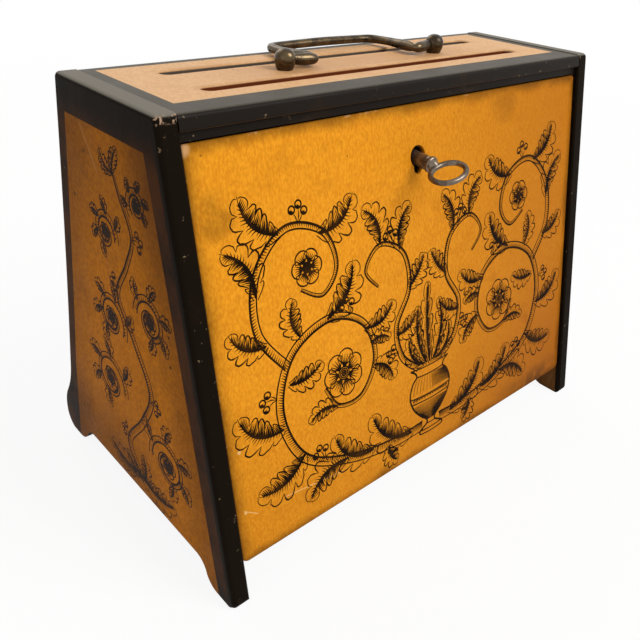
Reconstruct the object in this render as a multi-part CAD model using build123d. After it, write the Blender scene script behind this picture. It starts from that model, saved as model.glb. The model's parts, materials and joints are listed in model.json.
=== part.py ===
"""A desk letter box with two posting slots, a locking fall front and a brass bail handle.

Millimetres. +X is right seen from the front, -Y is the front, +Z is up.
The origin is on the floor under the middle of the box.
"""
from build123d import *
from math import atan, cos, degrees, hypot, sin, tan
import os

os.makedirs("parts", exist_ok=True)

# Case, seen from the side
case_width = 250.0
case_height = 191.0
side_thickness = 8.0
top_front_y = -38.5        # front edge of the side boards, at the top
foot_front_y = -78.0       # and at the floor
top_back_y = 33.5          # back edge of the side boards, at the top
ankle_y = 62.8             # where the back edge turns out into the foot
ankle_z = 46.0
back_edge_hollow = 1.2     # how far the back edge is scooped behind a straight line
heel_y = 77.2              # the furthest that the back foot stands out
heel_z = 8.0
instep_y = 72.4            # where the foot's curve changes from hollow to round
instep_z = 24.2
heel_flat_y = 73.0         # back end of the back foot's flat
back_foot_flat = 11.0
front_foot_flat = 10.0
arch_height = 11.2
arch_front_run = 15.5      # length of the curve from a foot's flat up to the arch
arch_back_run = 18.5
toe_height = 3.6           # the front foot is rounded up to here
toe_setback = 2.6
side_corner_radius = 2.4
side_edge_radius = 1.9
side_inner_bevel = 1.0     # width of the bevel along the front edge's inner arris

# Top board and its two slots
top_thickness = 5.6
top_drop = 0.4             # how far its surface lies below the side boards' ends
top_lap = 3.5              # how far it is let into each side board
top_lap_stop = 8.0         # the lap stops this far behind the front edge
top_front_radius = 1.9
top_edge_radius = 0.9
slot_end_margin = 24.5     # from a slot's end to the side board's inner face
slot_width = 7.0
slot_spacing = 28.5
slot_edge_bevel = 0.5

# Rail under the front edge of the top board
rail_height = 3.4
rail_depth = 11.0
rail_recess = 2.2

# Fall front
front_thickness = 7.0
front_recess = 2.0         # behind the side boards' front edges
front_bottom_z = 17.5      # outer lower edge
front_top_gap = 0.6        # from its outer upper edge to the rail
front_side_gap = 0.4
front_low_corner_radius = 3.5
front_top_corner_radius = 1.6
front_edge_radius = 1.0
front_joint_gap = 0.4      # between the fall front and the bottom board

# Back, bottom and divider
back_thickness = 6.0
back_recess = 3.0
bottom_thickness = 7.0
bottom_z = 16.4
groove_depth = 3.0
divider_thickness = 4.0
divider_groove = 2.5
divider_top_gap = 35.0      # from the divider up to the top board
divider_dip_width = 96.0
divider_dip_depth = 20.0

# Hinges, in the fall front's own frame
hinge_inset = 45.0         # from a hinge's middle to the side board's inner face
hinge_length = 34.0
leaf_height = 6.4
leaf_thickness = 1.0
leaf_start = 0.8           # the leaf's plate begins this far above the board's lower edge
barrel_radius = 1.7
hinge_pin_radius = 0.75
hinge_pin_fit = 0.05
hinge_pin_drop = 1.3       # pin axis below the board's lower edge
knuckle_gap = 0.25
barrel_clearance = 0.35

# Lock and key
keyhole_x = -5.0
keyhole_down = 21.4        # key axis below the fall front's upper edge
keyhole_radius = 4.6
keyhole_slot_width = 5.2
keyhole_slot_drop = 7.4
lock_plate_width = 58.0
lock_plate_height = 34.0
lock_sheet = 1.2
lock_selvedge_depth = 5.6
cap_width = 40.0
cap_bottom = 31.0          # lower end of the lock's cap below the upper edge
cap_depth = 5.4
cap_wall = 0.8
cap_hole_radius = 4.2
mortise_fit = 0.3
bolt_thickness = 2.4
bolt_back = 0.5            # gap from the bolt to the lock plate
bolt_plate_width = 26.0
bolt_head_width = 16.0
bolt_lift_gap = 5.2        # bolt's lower edge above the key axis, when withdrawn
bolt_shoulder = 6.6        # bolt's shoulder below the upper edge
bolt_flush = 0.2
bolt_throw = 4.5
bolt_clearance = 0.35
drill_pin_radius = 1.0
drill_pin_reach = 5.2
key_radius = 3.0
key_bore_radius = 2.1
key_droop = 16.0           # degrees that the worn key hangs below square
key_turned = 16.0          # degrees of the bow's right side above level
key_pivot_depth = 3.4      # where it tips, in front of the lock plate
key_bit_reach = 5.9
key_bit_thickness = 2.0
key_bit_width = 1.2
key_end_gap = 1.2          # from the key's open end to the lock plate
key_shoulder_out = 7.6     # collar's place in front of the fall front
key_collar_radius = 3.5
key_collar_width = 1.5
key_bow_centre_out = 17.0
key_bow_width = 18.4
key_bow_depth = 15.0
key_bow_stock = 2.7
key_bow_thickness = 2.6
key_bow_end_radius = 6.4
strike_length = 32.0
strike_width = 8.0
strike_thickness = 1.0

# Handle
handle_x = 1.6             # the handle sits this far right of the middle
handle_y = -0.8
post_spacing = 91.6
ball_radius = 4.1
ball_centre_up = 4.1       # above the top board
post_base_radius = 3.6
post_base_height = 1.5
post_shank_radius = 1.6
post_shank_length = 10.6
spigot_radius = 1.6
spigot_fit = 0.1
spigot_depth = 2.7
bail_shoulder_gap = 0.3
elbow_radius = 2.4         # thick stock at the elbows
grip_radius = 1.85
stock_flats = 10           # round stock is drawn with this many flats
elbow_x = 30.4
elbow_v = -1.2             # the elbows lie this far in front of the balls
elbow_bend = 3.3
knee_x = 33.0
knee_v = 18.0
knee_bend = 4.0
corner_x = 31.5
corner_bend = 10.0
bail_reach = 29.6
bail_thick_run = 6.0       # straight thick stock after the elbow
bail_taper_run = 7.0
bail_drop = 0.7             # the bail's plane lies this far below its pins
bail_tilt = 1.3            # degrees down at the back, folded

# Worked out from the sizes above
side_inner_x = case_width / 2 - side_thickness
top_surface_z = case_height - top_drop
top_underside_z = top_surface_z - top_thickness
front_slope = atan((top_front_y - foot_front_y) / case_height)
front_slope_deg = degrees(front_slope)
slot_length = 2 * (side_inner_x - slot_end_margin)
hinge_x = side_inner_x - hinge_inset
back_slope = atan((ankle_y - top_back_y) / (case_height - ankle_z))
rail_bottom_z = top_underside_z - rail_height
front_top_z = rail_bottom_z - front_top_gap
front_length = (front_top_z - front_bottom_z) / cos(front_slope)
front_half_width = side_inner_x - front_side_gap
divider_top_z = top_underside_z - divider_top_gap
slot_front_y = -slot_spacing / 2
slot_back_y = slot_spacing / 2
pivot_y = front_joint_gap / 2
key_z = front_length - keyhole_down
ball_z = top_surface_z + ball_centre_up


def front_edge_y(z):
    """The side boards' front edge at a height."""
    return top_front_y + (foot_front_y - top_front_y) * (case_height - z) / case_height


def back_edge_y(z):
    """The straight line behind which the side boards' back edge is scooped."""
    return top_back_y + (case_height - z) * tan(back_slope)


def on_front(shape):
    """Carries a shape from the fall front's own frame to its place in the case.

    There the board stands upright: its inner face is y = 0, its lower edge is z = 0.
    """
    y = front_edge_y(front_bottom_z) + front_recess / cos(front_slope) + front_thickness * cos(front_slope)
    z = front_bottom_z - front_thickness * sin(front_slope)
    return Pos(0, y, z) * Rot(-front_slope_deg, 0, 0) * shape


def front_inner_y(z):
    """The fall front's inner face at a height."""
    return front_edge_y(z) + (front_recess + front_thickness) / cos(front_slope)


def block(x0, x1, y0, y1, z0, z1):
    return Pos((x0 + x1) / 2, (y0 + y1) / 2, (z0 + z1) / 2) * Box(x1 - x0, y1 - y0, z1 - z0)


def rod_x(radius, x0, x1, y=0.0, z=0.0):
    """A cylinder along X."""
    return Pos((x0 + x1) / 2, y, z) * Rot(0, 90, 0) * Cylinder(radius, abs(x1 - x0))


def rod_y(radius, y0, y1, x=0.0, z=0.0):
    """A cylinder along Y."""
    return Pos(x, (y0 + y1) / 2, z) * Rot(90, 0, 0) * Cylinder(radius, abs(y1 - y0))


def plank(points, half_width):
    """A board of one outline in Y and Z, the same all the way across."""
    outline = make_face(Plane.YZ * Polyline(*points, close=True))
    return extrude(outline, half_width, both=True)


# Case boards

def side_outline():
    """A side board's outline: slanting edges, ogee back foot, arch between the feet."""
    back_foot_y = heel_flat_y - back_foot_flat
    toe_flat_y = foot_front_y + toe_setback
    front_flat_y = toe_flat_y + front_foot_flat
    middle_z = (case_height + ankle_z) / 2
    hollow = (back_edge_y(middle_z) - back_edge_hollow, middle_z)
    arch_back = (back_foot_y - arch_back_run, arch_height)
    arch_front = (front_flat_y + arch_front_run, arch_height)
    hollow_arc = TangentArc((ankle_y, ankle_z), (instep_y, instep_z), tangent=(tan(back_slope), -1))
    round_arc = TangentArc((instep_y, instep_z), (heel_y, heel_z), tangent=hollow_arc % 1)
    heel_arc = TangentArc((heel_y, heel_z), (heel_flat_y, 0), tangent=round_arc % 1)
    rise_back = TangentArc((back_foot_y, 0), (back_foot_y - arch_back_run / 2, arch_height / 2), tangent=(-1, 0))
    top_back = TangentArc(rise_back @ 1, arch_back, tangent=rise_back % 1)
    rise_front = TangentArc((front_flat_y, 0), (front_flat_y + arch_front_run / 2, arch_height / 2),
                            tangent=(1, 0))
    top_front = TangentArc(rise_front @ 1, arch_front, tangent=rise_front % 1)
    toe_top = (front_edge_y(toe_height), toe_height)
    toe_arc = TangentArc(toe_top, (toe_flat_y, 0), tangent=(-tan(front_slope), -1))
    outline = Curve() + [
        Line(toe_top, (top_front_y, case_height)),
        Line((top_front_y, case_height), (top_back_y, case_height)),
        ThreePointArc((top_back_y, case_height), hollow, (ankle_y, ankle_z)),
        hollow_arc, round_arc, heel_arc,
        Line((heel_flat_y, 0), (back_foot_y, 0)),
        rise_back, top_back,
        Line(arch_back, arch_front),
        top_front, rise_front,
        Line((front_flat_y, 0), (toe_flat_y, 0)),
        toe_arc,
    ]
    return make_face(Plane.YZ * outline)


def side_board():
    """The left side board, rounded along its front, top and back edges."""
    outer_x = -case_width / 2
    board = Pos(outer_x, 0, 0) * extrude(side_outline(), side_thickness, dir=(1, 0, 0))
    board = fillet(board.edges().filter_by(Axis.X).group_by(Axis.Z)[-1], side_corner_radius)
    outer = board.edges().filter_by_position(Axis.X, outer_x - 0.01, outer_x + 0.01)
    board = fillet([e for e in outer if (e @ 0.5).Z > arch_height + 1.0], side_edge_radius)
    middle = Pos(-side_inner_x, front_edge_y(case_height / 2), case_height / 2) * Rot(-front_slope_deg, 0, 0)
    board -= middle * Rot(0, 0, 45) * Box(side_inner_bevel, side_inner_bevel, 2 * case_height)
    return board - top_blank() - bottom_board_blank() - back_board() - divider_blank()


def top_blank():
    """The top board before its slots, holes and roundings."""
    reach = side_inner_x + top_lap
    ends = [(front_edge_y(top_surface_z), top_surface_z), (back_edge_y(top_surface_z), top_surface_z),
            (back_edge_y(top_underside_z), top_underside_z), (front_edge_y(top_underside_z), top_underside_z)]
    board = plank(ends, reach)
    stop_y = top_front_y + top_lap_stop
    for side in (-1, 1):
        x0, x1 = sorted((side * side_inner_x, side * (reach + 1)))
        board -= block(x0, x1, foot_front_y, stop_y, top_underside_z - 1, case_height + 1)
    return board


def long_slot(y, width):
    """A round-ended cutter for a posting slot."""
    shape = Pos(0, y, top_underside_z - 1) * SlotOverall(slot_length + width - slot_width, width)
    return extrude(shape, top_thickness + 2, dir=(0, 0, 1))


def top_board():
    """The top, with its two posting slots, post holes and the bolt's blind mortise."""
    board = top_blank()
    front_edges = board.edges().filter_by(Axis.X).group_by(Axis.Z)[-1].sort_by(Axis.Y)
    board = fillet(front_edges[0], top_front_radius)
    low_front = board.edges().filter_by(Axis.X).group_by(Axis.Z)[0].sort_by(Axis.Y)[0]
    board = fillet(low_front, top_edge_radius)
    back_top = board.edges().filter_by(Axis.X).group_by(Axis.Z)[-1].sort_by(Axis.Y)[-1]
    board = fillet(back_top, top_front_radius)
    for y in (slot_front_y, slot_back_y):
        board -= long_slot(y, slot_width)
    rims = [e for e in board.edges().group_by(Axis.Z)[-1]
            if abs(abs((e @ 0.5).Y) - slot_spacing / 2) <= slot_width / 2 + 0.01
            and abs((e @ 0.5).X) <= slot_length / 2 + 0.01]
    board = chamfer(rims, slot_edge_bevel)
    for x in (-post_spacing / 2, post_spacing / 2):
        board -= Pos(handle_x + x, handle_y, top_surface_z) * Cylinder(post_shank_radius, 4 * top_thickness)
    return board - bolt_way()


def bolt_way():
    """The space in the rail and top board that the thrown bolt enters."""
    side = bolt_head_width / 2 + bolt_clearance
    y1 = -bolt_back + bolt_clearance
    y0 = -bolt_back - bolt_thickness - bolt_clearance
    return on_front(block(keyhole_x - side, keyhole_x + side, y0, y1,
                          front_length, front_length + bolt_throw + bolt_clearance))


def rail_front_y(z):
    return front_edge_y(z) + rail_recess / cos(front_slope)


def front_rail():
    """The rail under the top board that the fall front closes below."""
    z0, z1 = rail_bottom_z, top_underside_z
    points = [(rail_front_y(z0), z0), (rail_front_y(z1), z1),
              (rail_front_y(z1) + rail_depth, z1), (rail_front_y(z1) + rail_depth, z0)]
    rail = plank(points, side_inner_x)
    return rail - strike_blank() - bolt_way()


def strike_centre_y():
    """The bolt's place where it crosses the rail's underside."""
    z = rail_bottom_z
    return front_inner_y(z) - (bolt_back + bolt_thickness / 2) / cos(front_slope)


def strike_blank():
    y = strike_centre_y()
    return block(keyhole_x - strike_length / 2, keyhole_x + strike_length / 2,
                 y - strike_width / 2, y + strike_width / 2, rail_bottom_z, rail_bottom_z + strike_thickness)


def strike_plate():
    return strike_blank() - bolt_way()


def back_board():
    """The sloping back, grooved into the side boards."""
    z0, z1 = bottom_z, top_underside_z
    outer = back_recess / cos(back_slope)
    inner = (back_recess + back_thickness) / cos(back_slope)
    points = [(back_edge_y(z0) - inner, z0), (back_edge_y(z0) - outer, z0),
              (back_edge_y(z1) - outer, z1), (back_edge_y(z1) - inner, z1)]
    return plank(points, side_inner_x + groove_depth)


def bottom_board_blank():
    """The bottom, grooved into the side boards, from the fall front to the back board."""
    z0, z1 = bottom_z, bottom_z + bottom_thickness
    gap = front_joint_gap / cos(front_slope)
    inner = (back_recess + back_thickness) / cos(back_slope)
    points = [(front_inner_y(z0) + gap, z0), (front_inner_y(z1) + gap, z1),
              (back_edge_y(z1) - inner, z1), (back_edge_y(z0) - inner, z0)]
    return plank(points, side_inner_x + groove_depth)


def bottom_board():
    return bottom_board_blank() - on_front(hinge_recesses(case_side=True))


def divider_blank():
    return block(-side_inner_x - divider_groove, side_inner_x + divider_groove,
                 -divider_thickness / 2, divider_thickness / 2, bottom_z + bottom_thickness, divider_top_z)


def divider_board():
    """The thin board between the two compartments, dipped for the fingers."""
    half = divider_dip_width / 2
    radius = (half ** 2 + divider_dip_depth ** 2) / (2 * divider_dip_depth)
    centre_z = divider_top_z - divider_dip_depth + radius
    board = divider_blank() - rod_y(radius, -divider_thickness, divider_thickness, 0, centre_z)
    rims = [e for e in board.edges() if (e @ 0.5).Z > divider_top_z - divider_dip_depth - 0.1
            and abs(abs((e @ 0.5).Y) - divider_thickness / 2) < 0.01 and abs((e @ 0.5).X) < side_inner_x]
    return chamfer(rims, 0.2 * divider_thickness)


# Fall front, in its own frame

def keyhole(radius, slot_width, drop, y0, y1):
    """A round hole with a slot under it for the key's bit."""
    hole = rod_y(radius, y0, y1, keyhole_x, key_z)
    slot = block(keyhole_x - slot_width / 2, keyhole_x + slot_width / 2, y0, y1,
                 key_z - drop + slot_width / 2, key_z)
    end = rod_y(slot_width / 2, y0, y1, keyhole_x, key_z - drop + slot_width / 2)
    return hole + slot + end


def hinge_recesses(case_side):
    """Housings for the hinges in the fall front or, on the case side, in the bottom board."""
    cuts = []
    for x in (-hinge_x, hinge_x):
        x0, x1 = x - hinge_length / 2, x + hinge_length / 2
        cuts.append(rod_x(barrel_radius + barrel_clearance, x0 - knuckle_gap, x1 + knuckle_gap,
                          pivot_y, -hinge_pin_drop))
        if case_side:
            cuts.append(block(x0, x1, front_joint_gap - 0.2, front_joint_gap + leaf_thickness,
                              -hinge_pin_drop, leaf_height))
        else:
            cuts.append(block(x0, x1, -leaf_thickness, 0.2, -hinge_pin_drop, leaf_height))
    return Compound(children=cuts)


def front_board():
    """The fall front: rounded edges, keyhole, lock mortise and hinge housings."""
    half, deep = front_half_width, front_thickness
    board = block(-half, half, -deep, 0, 0, front_length)
    uprights = board.edges().filter_by(Axis.Y)
    board = fillet(uprights.group_by(Axis.Z)[0], front_low_corner_radius)
    board = fillet(board.edges().filter_by(Axis.Y).group_by(Axis.Z)[-1], front_top_corner_radius)
    board = fillet(board.faces().sort_by(Axis.Y)[0].edges(), front_edge_radius)
    board -= keyhole(keyhole_radius, keyhole_slot_width, keyhole_slot_drop, -deep - 1, 0)
    side = cap_width / 2 + mortise_fit
    board -= block(keyhole_x - side, keyhole_x + side, -cap_depth - mortise_fit, 1,
                   front_length - cap_bottom - mortise_fit, front_length + 1)
    wide = lock_plate_width / 2
    board -= block(keyhole_x - wide, keyhole_x + wide, -lock_selvedge_depth, 1,
                   front_length - lock_sheet, front_length + 1)
    return board - hinge_recesses(case_side=False)


def hinge_leaf(x, case_side):
    """A leaf and its knuckles: on the case side the outer two with the pin, on the front one."""
    third = hinge_length / 3
    x0, x1 = x - hinge_length / 2, x + hinge_length / 2
    y0 = front_joint_gap if case_side else -leaf_thickness
    y1 = y0 + leaf_thickness
    plate = block(x0, x1, y0, y1, leaf_start, leaf_height)
    if case_side:
        spans = [(x0, x0 + third - knuckle_gap / 2), (x1 - third + knuckle_gap / 2, x1)]
    else:
        spans = [(x0 + third + knuckle_gap / 2, x1 - third - knuckle_gap / 2)]
    leaf = plate
    for a, b in spans:
        leaf += block(a, b, y0, y1, -hinge_pin_drop, leaf_start)
        leaf += rod_x(barrel_radius, a, b, pivot_y, -hinge_pin_drop)
    if case_side:
        return leaf + rod_x(hinge_pin_radius, x0, x1, pivot_y, -hinge_pin_drop)
    return leaf - rod_x(hinge_pin_radius + hinge_pin_fit, x0, x1, pivot_y, -hinge_pin_drop)


# Lock and key, in the fall front's frame

def lock_plate():
    """The plate on the inner face, with the selvedge bent over the board's upper edge."""
    wide = lock_plate_width / 2
    plate = block(keyhole_x - wide, keyhole_x + wide, 0, lock_sheet,
                  front_length - lock_plate_height, front_length)
    plate = fillet(plate.edges().filter_by(Axis.Y).group_by(Axis.Z)[0], 2.0)
    plate += block(keyhole_x - wide, keyhole_x + wide, -lock_selvedge_depth, 0,
                   front_length - lock_sheet, front_length)
    plate -= bolt_cutter()
    return plate - rod_y(drill_pin_radius, -1, 2 * lock_sheet, keyhole_x, key_z)


def bolt_cutter():
    """The slot in the selvedge."""
    side = bolt_head_width / 2 + 0.1
    return block(keyhole_x - side, keyhole_x + side, -bolt_back - bolt_thickness - 0.1, -bolt_back + 0.1,
                 front_length - 2 * lock_sheet, front_length + 1)


def lock_cap():
    """The pressed cap in the mortise, open to the lock plate."""
    side = cap_width / 2
    z0, z1 = front_length - cap_bottom, front_length - lock_sheet
    shell = block(keyhole_x - side, keyhole_x + side, -cap_depth, 0, z0, z1)
    shell = fillet(shell.edges().filter_by(Axis.Y).group_by(Axis.Z)[0], 2.0)
    room = block(keyhole_x - side + cap_wall, keyhole_x + side - cap_wall,
                 -cap_depth + cap_wall, 1, z0 + cap_wall, z1 + 1)
    return shell - room - keyhole(cap_hole_radius, keyhole_slot_width, keyhole_slot_drop,
                                  -cap_depth - 1, -cap_depth + 2 * cap_wall)


def lock_bolt():
    """The bolt, withdrawn flush with the selvedge."""
    y0, y1 = -bolt_back - bolt_thickness, -bolt_back
    wide, head = bolt_plate_width / 2, bolt_head_width / 2
    shoulder = front_length - bolt_shoulder
    plate = block(keyhole_x - wide, keyhole_x + wide, y0, y1, key_z + bolt_lift_gap, shoulder)
    return plate + block(keyhole_x - head, keyhole_x + head, y0, y1, shoulder, front_length - bolt_flush)


def drill_pin():
    return rod_y(drill_pin_radius, -drill_pin_reach, lock_sheet, keyhole_x, key_z)


def key_frame(shape):
    """Carries a key drawn along +Z, bow up, to its place in the lock, drooped and turned."""
    tip = Pos(keyhole_x, -key_pivot_depth, key_z) * Rot(key_droop, 0, 0)
    return tip * Rot(90, 0, 0) * Rot(0, 0, key_turned) * shape


def oval(inset):
    """The bow's outline, four arcs run together, drawn smaller by an inset."""
    long_half, short_half = key_bow_width / 2, key_bow_depth / 2
    end_x = long_half - key_bow_end_radius
    gap = short_half - key_bow_end_radius
    side_y = (end_x ** 2 - gap ** 2) / (2 * gap)
    reach = hypot(end_x, side_y)
    radius = key_bow_end_radius - inset
    x, y = end_x + radius * end_x / reach, radius * side_y / reach
    arcs = [ThreePointArc((x, -y), (long_half - inset, 0), (x, y)),
            ThreePointArc((x, y), (0, short_half - inset), (-x, y)),
            ThreePointArc((-x, y), (inset - long_half, 0), (-x, -y)),
            ThreePointArc((-x, -y), (0, inset - short_half), (x, -y))]
    return make_face(Curve() + arcs)


def key():
    """A pipe key: bored shank with bit, collar, and an oval bow flat with the bit."""
    face = front_thickness - key_pivot_depth
    inner = key_end_gap - key_pivot_depth
    collar = face + key_shoulder_out
    bow_centre = face + key_bow_centre_out
    bow_near = bow_centre - key_bow_depth / 2
    shank = Pos(0, 0, (inner + collar) / 2) * Cylinder(key_radius, collar - inner)
    shank += Pos(0, 0, collar) * Cylinder(key_collar_radius, key_collar_width)
    neck_length = bow_near + key_bow_stock / 2 - collar
    shank += Pos(0, 0, collar + neck_length / 2) * Cone(key_radius * 0.95, key_bow_thickness / 2, neck_length)
    ring = extrude(oval(0) - oval(key_bow_stock), key_bow_thickness / 2, both=True)
    body = shank + Pos(0, 0, bow_centre) * Rot(90, 0, 0) * ring
    body += block(0, key_bit_reach, -key_bit_thickness / 2, key_bit_thickness / 2,
                  inner, inner + key_bit_width)
    bore = key_pivot_depth + drill_pin_reach
    return body - Pos(0, 0, inner + bore / 2 - 0.1) * Cylinder(key_bore_radius, bore)


# Handle

def handle_post(x):
    """A ball on a flat base with its shank through the top board, socketed for the bail."""
    ball = Pos(x, 0, ball_z) * Sphere(ball_radius)
    foot = Pos(x, 0, top_surface_z + post_base_height / 2) * Cylinder(post_base_radius, post_base_height)
    shank = Pos(x, 0, top_surface_z - post_shank_length / 2) * Cylinder(post_shank_radius, post_shank_length)
    inward = -1 if x > 0 else 1
    reach = x + inward * (ball_radius - spigot_depth)
    socket = rod_x(spigot_radius + spigot_fit, reach, x + inward * 2 * ball_radius, 0, ball_z)
    return Pos(handle_x, handle_y, 0) * (ball + foot + shank - socket)


def stock(path, place, radius):
    """The bail's section at a place along a path, 0 to 1."""
    plane = Plane(origin=path @ place, x_dir=(0, 0, 1), z_dir=path % place)
    return plane * RegularPolygon(radius, stock_flats)


def bent(points, bends, radius):
    """Stock of one thickness along straight runs joined by bends."""
    path = FilletPolyline(*points, radius=bends)
    return sweep(stock(path, 0, radius), path=path)


def bail():
    """The swan-neck bail: thick elbows at the balls, tapering into a thinner grip."""
    lean = atan((knee_x - elbow_x) / (knee_v - elbow_v))
    shoulder_x = post_spacing / 2 - ball_radius - bail_shoulder_gap

    def leg(run, side):
        """A place up the leg from the elbow."""
        return (side * (elbow_x + run * sin(lean)), elbow_v + run * cos(lean))

    thick_end = elbow_bend + bail_thick_run
    thin_start = thick_end + bail_taper_run
    solid = bent([leg(thin_start, 1), (knee_x, knee_v), (corner_x, bail_reach), (-corner_x, bail_reach),
                  (-knee_x, knee_v), leg(thin_start, -1)],
                 [knee_bend, corner_bend, corner_bend, knee_bend], grip_radius)
    for side in (-1, 1):
        elbow = bent([(side * shoulder_x, 0), (side * elbow_x, elbow_v), leg(thick_end, side)],
                     elbow_bend, elbow_radius)
        run = Line(leg(thick_end, side), leg(thin_start, side))
        taper = loft([stock(run, 0, elbow_radius), stock(run, 1, grip_radius)])
        pin = rod_x(spigot_radius, side * (shoulder_x - 0.5),
                    side * (post_spacing / 2 - ball_radius + spigot_depth - 0.2), 0, bail_drop)
        solid = solid + elbow + taper + pin
    return Pos(handle_x, handle_y, ball_z) * Rot(-bail_tilt, 0, 0) * Pos(0, 0, -bail_drop) * solid


def save(name, shapes):
    """Writes one node, a single solid or a group of alike ones."""
    if isinstance(shapes, list):
        shapes = Compound(children=[piece for shape in shapes for piece in shape.solids()])
    elif len(shapes.solids()) == 1:
        shapes = shapes.solids()[0]
    export_step(shapes, f"parts/{name}.step")
    print(name, round(sum(piece.volume for piece in shapes.solids())), "mm3")


left_side = side_board()
save("side_board_left", left_side)
save("side_board_right", mirror(left_side, Plane.YZ))
save("top_board", top_board())
save("front_rail", front_rail())
save("back_board", back_board())
save("bottom_board", bottom_board())
save("divider_board", divider_board())
save("front_board", on_front(front_board()))
for side_name, hinge_at in (("left", -hinge_x), ("right", hinge_x)):
    save(f"hinge_case_leaf_{side_name}", on_front(hinge_leaf(hinge_at, case_side=True)))
    save(f"hinge_front_leaf_{side_name}", on_front(hinge_leaf(hinge_at, case_side=False)))
save("lock_plate", on_front(lock_plate()))
save("lock_cap", on_front(lock_cap()))
save("lock_bolt", on_front(lock_bolt()))
save("lock_drill_pin", on_front(drill_pin()))
save("strike_plate", strike_plate())
save("key", on_front(key_frame(key())))
save("handle_posts", [handle_post(x) for x in (-post_spacing / 2, post_spacing / 2)])
save("handle_bail", bail())
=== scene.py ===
import json
import math
import random
import bpy
from mathutils import Matrix, Vector


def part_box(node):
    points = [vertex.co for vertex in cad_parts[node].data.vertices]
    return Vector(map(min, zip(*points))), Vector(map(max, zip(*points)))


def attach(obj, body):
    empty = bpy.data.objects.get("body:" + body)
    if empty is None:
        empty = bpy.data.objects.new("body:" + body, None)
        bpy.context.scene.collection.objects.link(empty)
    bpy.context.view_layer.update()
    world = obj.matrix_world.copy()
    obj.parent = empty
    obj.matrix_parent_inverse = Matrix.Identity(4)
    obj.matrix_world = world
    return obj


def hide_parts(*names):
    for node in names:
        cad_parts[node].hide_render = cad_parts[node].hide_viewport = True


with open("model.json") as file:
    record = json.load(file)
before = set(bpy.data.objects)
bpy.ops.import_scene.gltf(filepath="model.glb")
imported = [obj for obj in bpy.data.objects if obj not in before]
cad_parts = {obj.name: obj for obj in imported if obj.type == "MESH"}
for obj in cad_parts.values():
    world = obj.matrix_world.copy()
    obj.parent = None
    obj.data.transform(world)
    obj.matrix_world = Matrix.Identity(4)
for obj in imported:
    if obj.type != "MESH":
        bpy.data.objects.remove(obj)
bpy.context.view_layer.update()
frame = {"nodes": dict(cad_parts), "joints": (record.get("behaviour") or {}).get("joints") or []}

mm = 0.001
bothSides = (-1, 1)
random.seed(7)


def tone(code):
    # "#c88a1f" as it is seen on screen, to the renderer's own numbers
    parts = [int(code[i:i + 2], 16) / 255 for i in (1, 3, 5)]
    return tuple(p / 12.92 if p <= 0.04045 else ((p + 0.055) / 1.055) ** 2.4 for p in parts) + (1.0,)


class Signal:
    # one output socket, so that sums can be written plainly
    def __init__(self, finish, socket):
        self.finish = finish
        self.socket = socket

    def maths(self, operation, *others):
        return self.finish.node("ShaderNodeMath", {"operation": operation}, dict(enumerate((self,) + others)))

    def __add__(self, other):
        return self.maths("ADD", other)

    def __sub__(self, other):
        return self.maths("SUBTRACT", other)

    def __rsub__(self, other):
        return self.maths("MULTIPLY", -1.0).maths("ADD", other)

    def __mul__(self, other):
        return self.maths("MULTIPLY", other)

    __radd__ = __add__
    __rmul__ = __mul__

    def most(self, other):
        return self.maths("MAXIMUM", other)

    def least(self, other):
        return self.maths("MINIMUM", other)

    def size(self):
        return self.maths("ABSOLUTE")

    def ramp(self, low, high):
        # 0 below low, 1 above high, smooth between; high may be the smaller
        return self.finish.node("ShaderNodeMapRange", {"interpolation_type": "SMOOTHSTEP"},
                                {"Value": self, "From Min": low, "From Max": high})

    def under(self, level, soft=0.3):
        # 1 below a level in millimetres, 0 above it
        return self.ramp((level + soft) * mm, (level - soft) * mm)

    def over(self, level, soft=0.3):
        return self.ramp((level - soft) * mm, (level + soft) * mm)


class Finish:
    # a material with its shader and the place on the piece
    def __init__(self, name, **fixed):
        self.material = bpy.data.materials.new(name)
        self.material.use_nodes = True
        self.tree = self.material.node_tree
        self.shader = self.tree.nodes["Principled BSDF"]
        for socket, value in fixed.items():
            self.shader.inputs[socket.replace("_", " ")].default_value = value
        self.place = self.node("ShaderNodeTexCoord", {}, {}, "Object")
        self.x = self.node("ShaderNodeSeparateXYZ", {}, {0: self.place}, "X")
        self.y = self.node("ShaderNodeSeparateXYZ", {}, {0: self.place}, "Y")
        self.z = self.node("ShaderNodeSeparateXYZ", {}, {0: self.place}, "Z")

    def node(self, kind, settings, inputs, output=0):
        made = self.tree.nodes.new(kind)
        for key, value in settings.items():
            setattr(made, key, value)
        for key, value in inputs.items():
            if isinstance(value, Signal):
                self.tree.links.new(value.socket, made.inputs[key])
            else:
                made.inputs[key].default_value = value
        return Signal(self, made.outputs[output])

    def stretch(self, scale):
        return self.node("ShaderNodeMapping", {}, {"Vector": self.place, "Scale": scale})

    def noise(self, scale, detail=3.0, rough=0.5, at=None):
        return self.node("ShaderNodeTexNoise", {}, {"Vector": at or self.place, "Scale": scale,
                                                    "Detail": detail, "Roughness": rough})

    def cells(self, scale):
        return self.node("ShaderNodeTexVoronoi", {}, {"Vector": self.place, "Scale": scale})

    def blend(self, amount, first, second):
        return self.node("ShaderNodeMix", {"data_type": "RGBA"}, {0: amount, 6: first, 7: second}, 2)

    def bump(self, height, distance):
        return self.node("ShaderNodeBump", {}, {"Height": height, "Distance": distance})

    def feed(self, **signals):
        for socket, signal in signals.items():
            self.tree.links.new(signal.socket, self.shader.inputs[socket.replace("_", " ")])
        return self.material


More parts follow.
